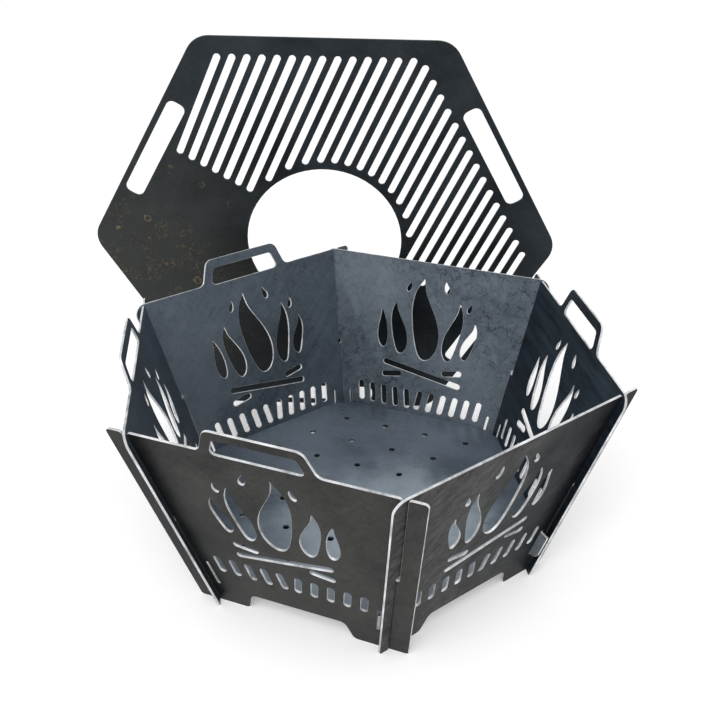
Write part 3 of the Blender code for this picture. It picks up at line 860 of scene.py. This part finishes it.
def make_floor_plate():
    """The loose floor with its drain holes."""
    patches = [(tuple(PIT_AXIS + Vector((*spot, FIRE_LEVEL))), *look)
               for spot, *look in FLOOR_CLOUDS_AND_VENT_LIGHT]
    top = steel_side("floor_top", FLOOR_TURN, *FLOOR_STEEL, patches, cloud=1.6, flake=0.06,
                     crack=0.1, streak=0.4, grain=0.5, seed=11, rough=0.34, relief=0.08)
    under = steel_side("floor_underside", FLOOR_TURN, *BLUE_STEEL, seed=14)
    edge = cut_edge("cut_edge_floor", UPWARD, *FLOOR_EDGE_PAINTED_SHADE)
    return cut_sheet("floor_sheet", "base_plate", "base_plate", UPWARD,
                     (top, under, edge))


def make_clip():
    """The small clip through the slit of the front right panel."""
    low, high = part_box("corner_clip")
    size = high - low
    facing = Vector((size.y, size.x, 0)).normalized()
    side = steel_side("clip_side", (0, 0, 0), *CLIP_STEEL, seed=17)
    edge = cut_edge("cut_edge_clip", facing)
    return cut_sheet("clip_sheet", "corner_clip", "pit", facing,
                     (side, side, edge))


make_floor_plate()
make_clip()

# %% [markdown]
# The cooking plate is blackened by use. Its open grill half is plain, and the
# solid half carries smudges, a warmer tone, and the rust flecks, curls and small
# rings of dried drops towards its left corner.

# %% Cooking plate
PLATE_DARK, PLATE_PALE = rgb(14, 19, 23), rgb(54, 61, 66)
PLATE_WARM = rgb(62, 63, 59)
PLATE_TURN = (0, 0.2, 0.2)
PLATE_FACING = Vector((-0.2, -1, 0))
RUST_TAN = rgb(136, 120, 88)
RUST_BROWN = rgb(102, 92, 68)
RUST_PLACE = Vector((0.08, -0.04, -0.055))
RUST_REACH = 0.23
RING_SCALE = 48.0
WARM_REACH = 0.30
WARM_SHARE = 0.6


def cooking_face(name, rust_centre):
    """Blackened plate with smudges and rust towards one corner."""
    finish, tree, shader, place, turned = start_finish(name, PLATE_TURN)
    scale = use_group(tree, MILL_SCALE, {"Vector": turned, "Cloud Scale": 10.0})
    lines = use_group(tree, ROLLING_LINES, {
        "Vector": turned, "Streak Scale": 80.0, "Stretch": 0.15})
    tone = add_up(tree, 0.5, (
        (scale["Clouds"], 0.5, 1.9), (lines["Streaks"], 0.5, 0.3), (scale["Grain"], 0.5, 0.8)))
    colour = blend_colour(tree, tone, PLATE_DARK, PLATE_PALE)
    warm = use_group(tree, SOFT_PATCH, {
        "Vector": place, "Centre": rust_centre, "Reach": WARM_REACH})
    warmth = calc(tree, "MULTIPLY", warm["Patch"], WARM_SHARE)
    colour = blend_colour(tree, warmth, colour, PLATE_WARM)
    near = use_group(tree, SOFT_PATCH, {
        "Vector": place, "Centre": rust_centre, "Reach": RUST_REACH, "Raggedness": 0.9})
    rust = use_group(tree, RUST_RINGS, {"Vector": place, "Ring Scale": RING_SCALE})
    rings, flecks, curls = (
        calc(tree, "MULTIPLY", calc(tree, "MULTIPLY", rust[mark], near["Patch"]), strength)
        for mark, strength in (("Rings", 0.85), ("Flecks", 0.8), ("Curls", 0.95)))
    colour = blend_colour(tree, flecks, colour, RUST_BROWN)
    colour = blend_colour(tree, curls, colour, RUST_BROWN)
    colour = blend_colour(tree, rings, colour, RUST_TAN)
    tree.links.new(colour, shader.inputs["Base Color"])
    rough = add_up(tree, 0.48, (
        (scale["Clouds"], 0.5, 0.5), (scale["Grain"], 0.5, 0.2), (flecks, 0.0, 0.3)))
    tree.links.new(rough, shader.inputs["Roughness"])
    shader.inputs["Metallic"].default_value = 0.4
    shader.inputs["Specular IOR Level"].default_value = 0.2
    height = add_up(tree, 0.5, (
        (scale["Grain"], 0.5, 0.6), (lines["Streaks"], 0.5, 0.4),
        (flecks, 0.0, 0.4), (rings, 0.0, 0.3)))
    bump(tree, shader, height, RELIEF, SIDE_DEPTH)
    return finish


def make_cooking_plate():
    """The grill and hot plate that leans on the pit."""
    low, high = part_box("cooking_plate")
    rust_centre = tuple(Vector((low.x, high.y, (low.z + high.z) / 2)) + RUST_PLACE)
    face = cooking_face("cooking_front", rust_centre)
    back = cooking_face("cooking_back", rust_centre)
    edge = cut_edge("cut_edge_cooking", PLATE_FACING.normalized(), EDGE_BLACKENED, EDGE_SOOTY)
    return cut_sheet("cooking_sheet", "cooking_plate", "cooking_plate",
                     PLATE_FACING, (face, back, edge))


make_cooking_plate()
